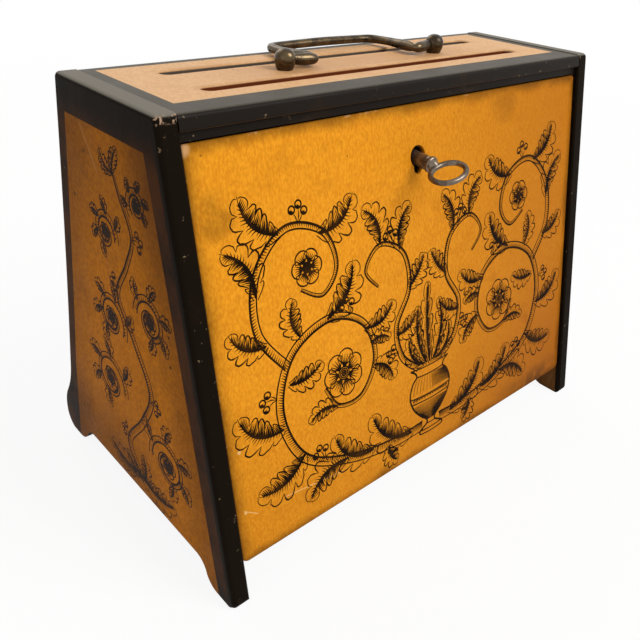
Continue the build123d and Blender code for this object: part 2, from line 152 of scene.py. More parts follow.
# lengths in the dictionaries are in millimetres, but for the stage and its lamps
# the fall front's own frame: its inner face is y = 0, its lower edge z = 0
joints = {joint["name"]: joint for joint in frame["joints"]}
boardUp = Vector(joints["bolt_slide"]["axis"]).normalized()
boardOut = Vector((0, -boardUp.z, boardUp.y))
slope = math.atan2(boardUp.y, boardUp.z)
hinge = {"behindFace": 0.2, "below": 1.3, "inset": 45.0, "screwGap": 11.0, "screwUp": 3.7, "caseFace": 0.4}
lock = {"across": -5.0, "selvedge": 5.6, "face": 1.2, "screwAcross": 25.5, "screwLow": 30.5, "screwHigh": 4.5,
        "topScrew": 24.5, "topBack": 2.9, "strikeScrew": 12.5}
boardFoot = (Vector(joints["front_fall"]["pos_m"]) + boardOut * hinge["behindFace"] * mm
             + boardUp * hinge["below"] * mm)
boardHigh = (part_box("lock_plate")[1][2] - boardFoot.z - lock["selvedge"] * mm * boardUp.y) / boardUp.z
boardThick = 7.0 * mm
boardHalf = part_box("front_board")[1][0]
boardFrame = Matrix.Translation(boardFoot) @ Matrix.Rotation(-slope, 4, "X")
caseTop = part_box("side_board_left")[1][2]
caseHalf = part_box("side_board_right")[1][0]
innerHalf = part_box("front_rail")[1][0]
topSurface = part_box("top_board")[1][2]
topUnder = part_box("top_board")[0][2]
sideEdge = {"frontTopY": -38.5, "frontFootY": -78.0, "backTopY": 33.5, "ankleY": 62.8, "ankleZ": 46.0,
            "hollow": 1.2}
slots = {"spacing": 28.5, "width": 7.0, "half": 92.5}


def boardPlace(finish, axis):
    # distance of a point from the fall front's foot along an axis in the Y-Z plane
    return (finish.y - boardFoot.y) * axis.y + (finish.z - boardFoot.z) * axis.z


def behindFront(finish):
    # distance behind the side boards' slanting front edge
    lean = (sideEdge["frontTopY"] - sideEdge["frontFootY"]) * mm / caseTop
    return (finish.y - (finish.z - caseTop) * lean - sideEdge["frontTopY"] * mm) * math.cos(math.atan(lean))


def beforeBack(finish):
    # distance in front of the side boards' hollow back edge
    rise = caseTop - sideEdge["ankleZ"] * mm
    run = (sideEdge["ankleY"] - sideEdge["backTopY"]) * mm
    part = (caseTop - finish.z) * (1 / rise)
    hollow = part * (1 - part) * 4 * sideEdge["hollow"] * mm
    return part * run + sideEdge["backTopY"] * mm - hollow - finish.y


def spot(a, b, centre, radius):
    # a soft round mark, in millimetres on the surface's own two axes
    left = a - centre[0] * mm
    low = b - centre[1] * mm
    return (left * left + low * low).ramp((radius * mm) ** 2, 0)


def scratch(a, b, start, end, width):
    # a fine straight mark from start to end
    start, end = Vector(start) * mm, Vector(end) * mm
    length = (end - start).length
    way = (end - start).normalized()
    along = (a - start.x) * way.x + (b - start.y) * way.y
    aside = ((a - start.x) * -way.y + (b - start.y) * way.x).size()
    return aside.ramp(width * mm, width * 0.3 * mm) * along.ramp(0, mm) * along.ramp(length, 0.9 * length)


def marks(kind, a, b, places):
    # several spots or scratches at once, each with its strength last
    whole = None
    for *place, strength in places:
        one = kind(a, b, *place) * strength
        whole = whole.most(one) if whole else one
    return whole


def figured(finish, colours):
    # fine wavy flecks of the figured veneer over soft cloudy bands
    flecks = finish.noise(1150, 2, 0.55, finish.stretch((1.0, 0.5, 0.5)))
    ripple = finish.noise(85, 4, 0.6, finish.stretch((0.8, 1.3, 1.3)))
    body = finish.blend(flecks.ramp(0.3, 0.7), tone(colours["light"]), tone(colours["mid"]))
    body = finish.blend(ripple.ramp(0.5, 0.85) * 0.3, body, tone(colours["deep"]))
    return body, flecks


plain = {
    "light": "#80572f", "dark": "#4f3116", "gloss": 0.3,
    # the grain runs where the stretch is small
    "across": (0.06, 1, 1), "upright": (1, 1, 0.06),
}


def bareBoard(finish, along):
    # oiled plain wood
    grain = finish.noise(150, 6, 0.65, finish.stretch(along))
    bands = finish.noise(24, 3, 0.5, finish.stretch(along))
    colour = finish.blend(grain.ramp(0.3, 0.8) * 0.8, tone(plain["light"]), tone(plain["dark"]))
    return finish.blend(bands.ramp(0.5, 0.75) * 0.5, colour, tone(plain["dark"])), grain


def specks(finish, scale, rare):
    # scattered small marks
    return finish.cells(scale).ramp(0.17, 0.09) * finish.noise(scale * 0.37, 1, 0.5).ramp(rare, rare + 0.04)


ebony = {
    # the two top colours are painted sheen: grey for light reflected off the black's upper faces
    "black": "#17110b", "brown": "#2e1a09", "top": "#6a6355", "sideTopSheen": "#8b8477", "pale": "#a88f6c",
    "chip": "#a98a72", "speck": "#9a8868", "scuff": "#4a3a2a", "gloss": 0.06,
    "frontBand": 11.0, "backBand": 8.0, "topBand": 177.5,
}


def blackLacquer(finish, edge):
    # ebonised wood, brown where it has thinned and pale in the chips; edge is 1 on an arris
    thin = finish.noise(30, 5, 0.65)
    colour = finish.blend(thin.ramp(0.52, 0.85) * 0.7, tone(ebony["black"]), tone(ebony["brown"]))
    chips = finish.noise(310, 4, 0.7).ramp(0.66, 0.71) * edge
    colour = finish.blend(chips, colour, tone(ebony["pale"]))
    return finish.blend(specks(finish, 380, 0.66) * 0.5, colour, tone(ebony["speck"]))


amber = {
    "light": "#e79a20", "mid": "#d48416", "deep": "#9e5804", "red": "#8a470c", "dirt": "#2c1705",
    "pale": "#c99a68", "mark": "#ecc88c", "speck": "#4d2a0b", "rough": 0.42,
    "gloss": 0.05,
    # dirt gathers at the rim, more at the left edge and at the right of the foot
    "rimDirt": (9.5, 3.5), "leftDirt": (14, 5), "footDirt": 16,
    # places on the board, across and up
    "stains": [((-108, 142), 11, 1), ((56, 162), 13, 0.6)],
    "wornCorner": ((-116, 165.5), 3.4),
    "scratches": [((-92.5, 20.1), (-58.6, 16.0), 0.3, 1), ((-113, 24.5), (-106, 19.5), 0.25, 1)],
    "nicks": [((-111.2, 50.8), 1.1, 1), ((-112, 23.2), 1.0, 1)],
}


def frontFinish():
    finish = Finish("amberFront", Specular_IOR_Level=amber["gloss"])
    colour, flecks = figured(finish, amber)
    up, out = boardPlace(finish, boardUp), boardPlace(finish, boardOut)
    wander = finish.noise(45, 4, 0.65)
    # painted shade: deeper towards the right and the foot
    right = finish.x.ramp(-70 * mm, 120 * mm)
    colour = finish.blend(right * 0.68 + up.ramp(90 * mm, 0) * 0.3, colour, tone(amber["deep"]))
    side = boardHalf - finish.x.size()
    rim = side.least(up).least(boardHigh - up)
    near, full = amber["rimDirt"]
    grime = (rim + wander * (8 * mm)).ramp(near * mm, full * mm) * 0.62
    near, full = amber["leftDirt"]
    leftEdge = (finish.x + boardHalf + wander * (12 * mm)).ramp(near * mm, full * mm) * 0.45
    foot = up.ramp(amber["footDirt"] * mm, 0) * finish.x.ramp(30 * mm, 100 * mm)
    foot = foot * wander.ramp(0.35, 0.6) * 0.8
    stains = marks(spot, finish.x, up, amber["stains"]) * 0.45 * wander.ramp(0.3, 0.6)
    colour = finish.blend(grime.most(leftEdge).most(foot).most(stains), colour, tone(amber["dirt"]))
    colour = finish.blend(wander.ramp(0.62, 0.8) * 0.35, colour, tone(amber["red"]))
    arris = out.ramp(boardThick - 1.1 * mm, boardThick - 0.4 * mm) * rim.ramp(1.0 * mm, 0.2 * mm)
    worn = finish.noise(140, 4, 0.7).ramp(0.6, 0.68) * arris * 0.7
    worn = worn.most(spot(finish.x, up, *amber["wornCorner"]) * 0.9)
    colour = finish.blend(worn, colour, tone(amber["pale"]))
    lines = marks(scratch, finish.x, up, amber["scratches"])
    nicks = marks(spot, finish.x, up, amber["nicks"])
    colour = finish.blend(lines.most(nicks) * 0.6, colour, tone(amber["mark"]))
    colour = finish.blend(specks(finish, 300, 0.67) * 0.6, colour, tone(amber["speck"]))
    # the inner face is plain
    inside, _ = bareBoard(finish, plain["across"])
    colour = finish.blend(out.ramp(boardThick - 1.2 * mm, boardThick - 1.8 * mm), colour, inside)
    return finish.feed(Base_Color=colour, Roughness=flecks * 0.14 + amber["rough"] + grime * 0.2,
                       Normal=finish.bump(flecks + wander * 0.3, 0.11 * mm))


shaded = {
    # the side's colours are the front's amber written darker, as painted shade on faces turned from the key
    # lamp
    "light": "#bb7008", "mid": "#a25e08", "deep": "#764205", "paintedShade": "#4b2807", "speck": "#2f1a0a",
    "mark": "#b08d5c", "borderSheen": "#4a280c", "gloss": 0.012,
    # places on the side, back from the middle and up
    "dots": [((-38.6, 112.5), 1.0, 1), ((-38.6, 99.5), 1.0, 1)],
    "scratch": ((16.6, 177), (5.1, 160), 0.5),
    "chip": ((-38.2, 189.8), 2.2),
    "scrape": ((-70.6, 94.6), (-72.6, 88.6), 0.45),
}


def sideFinish():
    finish = Finish("amberSide", Specular_IOR_Level=shaded["gloss"])
    colour, flecks = figured(finish, shaded)
    wander = finish.noise(38, 4, 0.65)
    front, back = behindFront(finish), beforeBack(finish)
    # painted shade: darker under the top, beside the borders and low at the back, with some random unevenness
    paintedShade = finish.z.ramp(100 * mm, 178 * mm) * 0.35 + front.ramp(34 * mm, 12 * mm) * 0.45
    paintedShade = paintedShade + back.ramp(34 * mm, 8 * mm) * 0.3
    paintedShade = paintedShade + finish.z.ramp(62 * mm, 20 * mm) * finish.y.ramp(-40 * mm, 10 * mm) * 0.45
    colour = finish.blend(paintedShade + wander.ramp(0.5, 0.75) * 0.2, colour, tone(shaded["paintedShade"]))
    outer = finish.x.size().ramp(caseHalf - 0.35 * mm, caseHalf - 0.15 * mm)
    # the back border widens round the foot
    backBorder = back + (finish.z - 50 * mm).least(0) * 0.08
    border = front.under(ebony["frontBand"]).most(backBorder.under(ebony["backBand"]))
    border = border.most(finish.z.over(ebony["topBand"]))
    # the inner face is plain between the black edges
    inner = finish.x.size().ramp(innerHalf + 1.2 * mm, innerHalf + 0.6 * mm) * front.ramp(2.6 * mm, 3.6 * mm)
    inner = inner * finish.z.ramp(caseTop - 6.0 * mm, caseTop - 6.6 * mm)
    dots = marks(spot, finish.y, finish.z, shaded["dots"]).most(specks(finish, 150, 0.62) * 0.7)
    colour = finish.blend(dots, colour, tone(shaded["speck"]))
    line = scratch(finish.y, finish.z, *shaded["scratch"])
    colour = finish.blend(line * 0.35, colour, tone(shaded["mark"]))
    # worn arrises, foot and front corner show through the black
    rim = front.size().ramp(2.2 * mm, 0.2 * mm).most(finish.z.ramp(caseTop - 1.6 * mm, caseTop - 0.2 * mm))
    corner = front.ramp(9 * mm, 0) * finish.z.ramp(caseTop - 7 * mm, caseTop - mm)
    black = blackLacquer(finish, rim * 0.5 + finish.z.ramp(7 * mm, 0.5 * mm) * 0.9 + corner * 0.9)
    # painted sheen: the black border on the outer face is painted patchy brown where light catches it
    brown = outer * front.ramp(3.0 * mm, 4.5 * mm) * wander.ramp(0.25, 0.6)
    brown = brown * finish.z.ramp(186 * mm, 170 * mm) * 0.75
    black = finish.blend(brown, black, tone(shaded["borderSheen"]))
    # painted sheen: the top edge of the side boards is painted grey as reflected light
    crownSheen = finish.z.ramp(caseTop - 1.0 * mm, caseTop - 0.3 * mm) * 0.75
    black = finish.blend(crownSheen, black, tone(ebony["sideTopSheen"]))
    # the chipped corner is on the left side only
    chip = spot(finish.y, finish.z, *shaded["chip"]) * finish.noise(620, 3, 0.6).ramp(0.5, 0.6)
    chip = chip * finish.x.ramp(-116 * mm, -117.5 * mm)
    scrape = scratch(finish.y, finish.z, *shaded["scrape"])
    black = finish.blend(chip.most(scrape), black, tone(ebony["chip"]))
    colour = finish.blend(border.most(1 - outer), colour, black)
    inside, _ = bareBoard(finish, plain["upright"])
    colour = finish.blend(inner * back.ramp(2.4 * mm, 3.2 * mm), colour, inside)
    return finish.feed(Base_Color=colour, Roughness=finish.noise(90, 3, 0.6) * 0.2 + 0.32,
                       Normal=finish.bump(flecks + wander, 0.06 * mm))


panelTop = {
    # the top's amber is paler and pinker than the front's: partly its own tone, partly painted sheen of light
    # reflected at this low angle
    "light": "#e5b583", "mid": "#d8a673", "deep": "#bd8a5c", "stain": "#6b4020", "wall": "#6e3216",
    "wallShade": "#1d0d06", "rearWallSheen": "#5b5046", "gloss": 0.08,
    "half": 111.0, "front": -26.5, "back": 28.5,
}


def topFinish():
    finish = Finish("amberTop", Specular_IOR_Level=panelTop["gloss"])
    colour, flecks = figured(finish, panelTop)
    wander = finish.noise(40, 4, 0.65)
    across, along = finish.x.size(), finish.y
    panel = across.under(panelTop["half"]) * along.over(panelTop["front"]) * along.under(panelTop["back"])
    slotRow = (along.size() - slots["spacing"] / 2 * mm).size()
    atSlot = across.ramp((slots["half"] + 4) * mm, slots["half"] * mm)
    handled = slotRow.ramp((slots["width"] / 2 + 3.5) * mm, slots["width"] / 2 * mm) * atSlot
    # darker in the middle, between the slots under the handle
    between = along.size().ramp(11 * mm, 7 * mm) * across.ramp(90 * mm, 50 * mm) * 0.45
    handled = handled * wander.ramp(0.35, 0.6) * 0.5
    colour = finish.blend(handled.most(between), colour, tone(panelTop["deep"]))
    colour = finish.blend(specks(finish, 260, 0.64) * 0.7, colour, tone(panelTop["stain"]))
    black = blackLacquer(finish, along.ramp(-36.6 * mm, -38.4 * mm) * 0.55)
    # painted sheen: the black's upper face is painted grey as reflected light
    crownSheen = finish.z.ramp(topSurface - 0.5 * mm, topSurface - 0.1 * mm) * 0.5
    black = finish.blend(crownSheen, black, tone(ebony["top"]))
    colour = finish.blend(1 - panel, colour, black)
    # inside the slots: a red-brown front wall with painted shade lower down, and a rear wall painted grey as
    # a highlight
    wall = (slotRow.ramp((slots["width"] / 2 + 0.3) * mm, (slots["width"] / 2 + 0.1) * mm) * atSlot
            * finish.z.ramp(topSurface - 0.6 * mm, topSurface - 0.9 * mm))
    low = finish.z.ramp(topSurface - 1.6 * mm, topSurface - 3.6 * mm)
    frontWall = finish.blend(low, tone(panelTop["wall"]), tone(panelTop["wallShade"]))
    colour = finish.blend(wall * along.ramp(mm, -mm), colour, frontWall)
    colour = finish.blend(wall * along.ramp(-mm, mm), colour, tone(panelTop["rearWallSheen"]))
    inside, _ = bareBoard(finish, plain["across"])
    colour = finish.blend(finish.z.ramp(topUnder + 0.3 * mm, topUnder + 0.1 * mm), colour, inside)
    return finish.feed(Base_Color=colour, Roughness=finish.noise(70, 3, 0.6) * 0.2 + 0.36,
                       Normal=finish.bump(flecks + wander, 0.06 * mm))


def blackFinish():
    finish = Finish("ebonisedWood", Specular_IOR_Level=ebony["gloss"])
    inside, grain = bareBoard(finish, plain["across"])
    scuffs = finish.noise(60, 5, 0.7, finish.stretch((0.25, 1, 1))).ramp(0.6, 0.72) * 0.35
    colour = finish.blend(scuffs, blackLacquer(finish, finish.noise(9, 2, 0.5) * 0.3), tone(ebony["scuff"]))
    # the back board's inner face is plain
    behind = finish.y.ramp(0, mm) * beforeBack(finish).ramp(7 * mm, 8 * mm)
    colour = finish.blend(behind, colour, inside)
    return finish.feed(Base_Color=colour, Roughness=grain * 0.25 + 0.3, Normal=finish.bump(grain, 0.08 * mm))


def plainFinish():
    finish = Finish("bareWood", Specular_IOR_Level=plain["gloss"])
    colour, grain = bareBoard(finish, plain["across"])
    return finish.feed(Base_Color=colour, Roughness=grain * 0.2 + 0.5, Normal=finish.bump(grain, 0.12 * mm))


metals = {
    # bright, dark and stained colours, roughness, metallic
    "agedBrass": ("#5f4f37", "#33291d", "#1c150e", 0.15, 0.85),
    "innerBrass": ("#ab8a4b", "#94743d", "#6f5629", 0.24, 1.0),
    "wornSteel": ("#7d7062", "#473d32", "#271e16", 0.2, 0.8),
}


def metalFinish(name):
    bright, dark, stain, rough, metallic = metals[name]
    finish = Finish(name)
    patch = finish.noise(150, 5, 0.65)
    colour = finish.blend(patch.ramp(0.38, 0.66), tone(bright), tone(dark))
    colour = finish.blend(finish.noise(420, 4, 0.7).ramp(0.58, 0.72) * 0.5, colour, tone(stain))
    worn = (1 - patch.ramp(0.6, 0.8) * 0.4) * metallic
    pitted = finish.bump(finish.noise(900, 3, 0.6) + patch, 0.015 * mm)
    return finish.feed(Base_Color=colour, Metallic=worn, Roughness=patch * 0.25 + rough, Normal=pitted)


def inkFinish(name, dark, faded):
    finish = Finish(name, Specular_IOR_Level=ink["gloss"])
    fade = finish.noise(70, 4, 0.6)
    return finish.feed(Base_Color=finish.blend(fade.ramp(0.4, 0.75), tone(dark), tone(faded)),
                       Roughness=fade * 0.1 + 0.42)


def dress(material, *nodes):
    for node in nodes:
        for slot in frame["nodes"][node].material_slots:
            slot.material = material


agedBrass = metalFinish("agedBrass")
innerBrass = metalFinish("innerBrass")
wornSteel = metalFinish("wornSteel")
dress(frontFinish(), "front_board")
dress(sideFinish(), "side_board_left", "side_board_right")
dress(topFinish(), "top_board")
dress(blackFinish(), "front_rail", "back_board")
dress(plainFinish(), "bottom_board", "divider_board")
dress(innerBrass, *[name for name in frame["nodes"] if name.startswith("hinge_")])
dress(innerBrass, "lock_plate", "lock_cap", "lock_bolt", "strike_plate")
dress(wornSteel, "lock_drill_pin")
print("finishes are on the CAD pieces")

sharpAngle = math.radians(38)


def finished(piece, name, material, body, place=None):
    # a piece at the origin with its place in its mesh, riding on its body
    piece.name = name
    piece.data.name = name
    if place:
        piece.data.transform(place)
    piece.data.materials.clear()
    piece.data.materials.append(material)
    bpy.ops.object.select_all(action="DESELECT")
    piece.select_set(True)
    bpy.context.view_layer.objects.active = piece
    bpy.ops.object.shade_smooth_by_angle(angle=sharpAngle)
    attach(piece, body)
    return piece


def turned(sides, profile):
    # a filled ring, extruded and resized up through (radius, height) pairs
    bpy.ops.object.select_all(action="DESELECT")
    radius, height = profile[0]
    bpy.ops.mesh.primitive_circle_add(vertices=sides, radius=radius * mm, fill_type="NGON",
                                      enter_editmode=True)
    bpy.ops.transform.translate(value=(0, 0, height * mm))
    for nextRadius, nextHeight in profile[1:]:
        rise = (0, 0, (nextHeight - height) * mm)
        bpy.ops.mesh.extrude_region_move(TRANSFORM_OT_translate={"value": rise})
        grow = nextRadius / radius
        bpy.ops.transform.resize(value=(grow, grow, 1), center_override=(0, 0, nextHeight * mm))
        radius, height = nextRadius, nextHeight
    bpy.ops.mesh.select_all(action="SELECT")
    bpy.ops.mesh.normals_make_consistent(inside=False)
    bpy.ops.object.mode_set(mode="OBJECT")
    return bpy.context.object


def joined(pieces):
    bpy.ops.object.select_all(action="DESELECT")
    for piece in pieces:
        piece.select_set(True)
    bpy.context.view_layer.objects.active = pieces[0]
    bpy.ops.object.join()
    return bpy.context.object


pivot = Vector(joints["handle_swing"]["pos_m"])
bail = {
    # across, back, up from the middle of the line between the balls, and half the stock's thickness
    "half": [(44.0, 0, 0, 1.5), (42.2, 0, 0, 1.7), (40.6, 0, -0.4, 2.3), (37.6, -0.4, -0.7, 2.45),
             (34.6, -1.0, -0.7, 2.55), (31.8, -1.6, -0.8, 2.15), (30.5, -0.8, -0.8, 1.5),
             (31.2, 1.9, -0.7, 2.15), (31.9, 6.0, -0.7, 2.4), (32.5, 12.5, -0.7, 2.0),
             (33.2, 18.0, -0.7, 1.85), (32.4, 23.5, -0.7, 1.85), (31.2, 28.6, -0.7, 1.9),
             (26.0, 29.8, -0.7, 1.85), (14.0, 29.8, -0.5, 1.9)],
    "middle": (0, 29.8, -0.3, 1.95), "droop": 1.3,
}


def swanNeck():
    # round stock along a smooth line, thick at the elbows
    bpy.ops.object.select_all(action="DESELECT")
    bpy.ops.curve.primitive_nurbs_path_add()
    piece = bpy.context.object
    curve = piece.data
    curve.splines.clear()
    knots = bail["half"] + [bail["middle"]] + [(-x, v, z, r) for x, v, z, r in reversed(bail["half"])]
    spline = curve.splines.new("NURBS")
    spline.points.add(len(knots) - 1)
    for point, (x, v, z, thick) in zip(spline.points, knots):
        point.co = (x * mm, v * mm, z * mm, 1)
        point.radius = thick
    spline.order_u = 3
    spline.use_endpoint_u = True
    curve.dimensions = "3D"
    curve.bevel_depth = mm
    curve.bevel_resolution = 6
    curve.resolution_u = 8
    curve.use_fill_caps = True
    bpy.ops.object.convert(target="MESH")
    droop = Matrix.Rotation(math.radians(-bail["droop"]), 4, "X")
    made = finished(piece, "bail_grip", agedBrass, "handle", Matrix.Translation(pivot) @ droop)
    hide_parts("handle_bail")


swanNeck()

keyShape = {
    "sides": 40, "droop": 16.0, "turned": 16.0, "bowOut": 20.6, "bowHalf": (8.03, 6.33), "bowStock": 1.18,
    "bit": {"reach": 5.9, "thick": 2.0, "from": -2.2, "to": -1.0, "edge": 0.15},
    # bore, open end, shank, collar and neck
    "profile": [(2.1, 6.3), (2.1, -2.2), (2.8, -2.2), (3.0, -1.95), (3.0, 9.3), (2.75, 9.5), (2.75, 9.9),
                (3.3, 10.2), (3.5, 10.6), (3.5, 11.5), (3.25, 11.9), (2.75, 12.1), (2.6, 12.7), (2.2, 13.4),
                (1.6, 14.2), (0.9, 14.8)],
}


def pipeKey():
    shank = turned(keyShape["sides"], keyShape["profile"])
    bpy.ops.object.select_all(action="DESELECT")
    bpy.ops.curve.primitive_bezier_circle_add(radius=mm, enter_editmode=True)
    bpy.ops.transform.resize(value=(keyShape["bowHalf"][0], keyShape["bowHalf"][1], 1))
    bpy.ops.object.mode_set(mode="OBJECT")
    bow = bpy.context.object
    bow.data.bevel_depth = keyShape["bowStock"] * mm
    bow.data.bevel_resolution = 6
    bow.data.resolution_u = 20
    bpy.ops.object.convert(target="MESH")
    outAlong = Matrix.Translation((0, 0, keyShape["bowOut"] * mm))
    bow.data.transform(outAlong @ Matrix.Rotation(math.pi / 2, 4, "X"))
    size = keyShape["bit"]
    bpy.ops.object.select_all(action="DESELECT")
    bpy.ops.mesh.primitive_cube_add(size=mm, enter_editmode=True)
    bpy.ops.transform.resize(value=(size["reach"], size["thick"], size["to"] - size["from"]))
    bpy.ops.transform.translate(value=(size["reach"] / 2 * mm, 0, (size["to"] + size["from"]) / 2 * mm))
    bpy.ops.mesh.bevel(offset=size["edge"] * mm, segments=2, affect="EDGES")
    bpy.ops.object.mode_set(mode="OBJECT")
    bit = bpy.context.object
    whole = joined([shank, bow, bit])
    turn = Matrix.Rotation(-slope + math.radians(keyShape["droop"] + 90), 4, "X")
    place = (Matrix.Translation(joints["key_turn"]["pos_m"]) @ turn
             @ Matrix.Rotation(math.radians(keyShape["turned"]), 4, "Z"))
    made = finished(whole, "pipe_key", wornSteel, "key", place)
    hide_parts("key")


pipeKey()

post = {
    "sides": 40,
    # the shank below the top, then the flat foot running up into the ball
    "profile": [(1.45, -10.6), (1.6, -10.3), (1.6, 0.0), (3.2, 0.0), (3.4, 0.25), (3.6, 0.8), (4.05, 2.0),
                (4.32, 3.2), (4.36, 4.2), (4.25, 5.2), (3.95, 6.1), (3.4, 6.95), (2.6, 7.6), (1.6, 8.05),
                (0.5, 8.24)],
    # half the ball's width in the solids
    "solidHalf": 4.1,
}
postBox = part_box("handle_posts")
postReach = (postBox[1][0] - postBox[0][0]) / 2 - post["solidHalf"] * mm


def ballPosts():
    balls = []
    for side in bothSides:
        ball = turned(post["sides"], post["profile"])
        ball.data.transform(Matrix.Translation((pivot.x + side * postReach, pivot.y, topSurface)))
        balls.append(ball)
    made = finished(joined(balls), "ball_posts", agedBrass, "case")
    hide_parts("handle_posts")


ballPosts()
print("the bail, its posts and the key are made")

screw = {
    "sides": 20, "slot": 0.34, "deep": 0.22, "firstTurn": 0.5, "nextTurn": 1.1,
    # radius of each kind of head, and how far it stands proud
    "hinge": (1.3, 0.08), "lock": (1.7, 0.3), "edge": (1.5, 0.08), "strike": (1.4, 0.08),
}


def screwHeads(name, body, kind, places):
    # one slotted head, copied to each place and joined
    radius, proud = screw[kind]
    head = turned(screw["sides"], [(radius * 0.7, -0.5), (radius, -0.05), (radius * 0.96, proud * 0.5),
                                  (radius * 0.75, proud)])
    bpy.ops.mesh.primitive_cube_add(size=1)
    groove = bpy.context.object
    groove.scale = (3 * radius * mm, screw["slot"] * mm, 2 * screw["deep"] * mm)
    groove.location = (0, 0, proud * mm)
    cut = head.modifiers.new("groove", "BOOLEAN")
    cut.object = groove
    bpy.ops.object.select_all(action="DESELECT")
    head.select_set(True)
    bpy.context.view_layer.objects.active = head
    bpy.ops.object.modifier_apply(modifier="groove")
    bpy.data.objects.remove(groove)
    copies = []
    for k, place in enumerate(places):
        bpy.ops.object.select_all(action="DESELECT")
        head.select_set(True)
        bpy.context.view_layer.objects.active = head
        bpy.ops.object.duplicate()
        copy = bpy.context.object
        copy.data.transform(place @ Matrix.Rotation(screw["firstTurn"] + screw["nextTurn"] * k, 4, "Z"))
        copies.append(copy)
    bpy.data.objects.remove(head)
    finished(joined(copies), name, innerBrass, body)


inward = Matrix.Rotation(-math.pi / 2, 4, "X")
outward = Matrix.Rotation(math.pi / 2, 4, "X")
downward = Matrix.Rotation(math.pi, 4, "X")
hingeAt = innerHalf / mm - hinge["inset"]
hingeScrews = [side * hingeAt + step * hinge["screwGap"] for side in bothSides for step in (-1, 0, 1)]
high = boardHigh / mm
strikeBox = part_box("strike_plate")
strikeMiddle = (strikeBox[0][1] + strikeBox[1][1]) / 2


def onBoard(across, deep, up):
    return boardFrame @ Matrix.Translation(Vector((across, deep, up)) * mm)


def allScrews():
    screwHeads("hinge_screws_front", "front", "hinge",
               [onBoard(x, 0, hinge["screwUp"]) @ inward for x in hingeScrews])
    screwHeads("hinge_screws_case", "case", "hinge",
               [onBoard(x, hinge["caseFace"], hinge["screwUp"]) @ outward for x in hingeScrews])
    screwHeads("lock_screws", "front", "lock",
               [onBoard(lock["across"] + side * lock["screwAcross"], lock["face"], high - down) @ inward
                for side in bothSides for down in (lock["screwHigh"], lock["screwLow"])])
    edgeAcross = [lock["across"] + side * lock["topScrew"] for side in bothSides]
    screwHeads("lock_edge_screws", "front", "edge", [onBoard(x, -lock["topBack"], high) for x in edgeAcross])
    strikeAcross = [(lock["across"] + side * lock["strikeScrew"]) * mm for side in bothSides]
    screwHeads("strike_screws", "case", "strike",
               [Matrix.Translation((x, strikeMiddle, strikeBox[0][2])) @ downward for x in strikeAcross])


allScrews()

nut = {"across": 6.5, "high": 2.4, "washer": 4.4, "washerHigh": 0.8, "washerSides": 32, "turned": 0.3,
       "apart": 0.4}


def underTop():
    # a washer and a square nut hold each post below the top board
    corner = nut["across"] / math.sqrt(2)
    rim, low = nut["washer"], nut["washerHigh"]
    top = low + nut["high"]
    made = []
    for side in bothSides:
        foot = Matrix.Translation((pivot.x + side * postReach, pivot.y, topUnder)) @ downward
        washer = turned(nut["washerSides"], [(rim - 0.15, 0), (rim, 0.15), (rim, low - 0.15),
                                             (rim - 0.2, low)])
        washer.data.transform(foot)
        square = turned(4, [(corner - 0.3, low), (corner, low + 0.25), (corner, top - 0.4),
                            (corner - 0.5, top)])
        square.data.transform(foot @ Matrix.Rotation(nut["turned"] + side * nut["apart"], 4, "Z"))
        made += [washer, square]
    finished(joined(made), "post_nuts", agedBrass, "case")


underTop()
print("the small fasteners are made")

# penwork: foliage drawn as tapered ink strokes, across and up in millimetres
ink = {"outline": 0.74, "hatch": 0.45, "lift": 0.012, "flat": 0.06, "frontUp": 3.0, "gloss": 0.02,
       "front": ("#160d05", "#3d240a"), "side": ("#1c0f05", "#3f220a")}


class Drawing:
    def __init__(self):
        self.strokes = []

    def stroke(self, points, width, press=(0.35, 1.0, 0.3)):
        # a pen line that swells and thins: start, middle and end pressure
        count = len(points) - 1
        radii = []
        for i in range(count + 1):
            t = i / count
            a, b, part = (press[0], press[1], t * 2) if t < 0.5 else (press[1], press[2], t * 2 - 1)
            radii.append(width / 2 * (a + (b - a) * part))
        self.strokes.append((points, radii))


def along(points, t):
    # a point on a line of points, and the direction there
    place = max(0.0, min(0.9999, t)) * (len(points) - 1)
    i = int(place)
    a, b = points[i], points[i + 1]
    return a.lerp(b, place - i), (b - a).normalized()


def bow(start, end, sag, steps=12):
    # a line from start to end, bowed aside by sag
    across = (end - start).orthogonal()
    return [start.lerp(end, i / steps) + across * (4 * sag * (i / steps) * (1 - i / steps))
            for i in range(steps + 1)]


def direction(angle):
    return Vector((math.cos(angle), math.sin(angle)))


def spiral(centre, radius, start, turns, hand, tight=0.12, steps=46):
    # winds in from the outside
    line = []
    for i in range(steps + 1):
        t = i / steps
        r = radius * ((1 - t) ** 1.15 * (1 - tight) + tight)
        angle = start + hand * turns * math.tau * t
        line.append(centre + direction(angle) * r)
    return line


def vectors(corners):
    return [Vector(corner) for corner in corners]


def smooth(corners, steps=12):
    # a curve through the corners
    line = []
    for i in range(len(corners) - 1):
        p0 = corners[max(i - 1, 0)]
        p1, p2 = corners[i], corners[i + 1]
        p3 = corners[min(i + 2, len(corners) - 1)]
        for k in range(steps):
            t = k / steps
            line.append(0.5 * (2 * p1 + (p2 - p0) * t + (2 * p0 - 5 * p1 + 4 * p2 - p3) * t ** 2
                               + (3 * p1 - p0 - 3 * p2 + p3) * t ** 3))
    return line + [corners[-1]]


# gap between hatching strokes, their reach towards the rim and their weight
hatching = {"close": (0.75, 0.9, 1.25), "light": (1.35, 0.5, 0.9)}


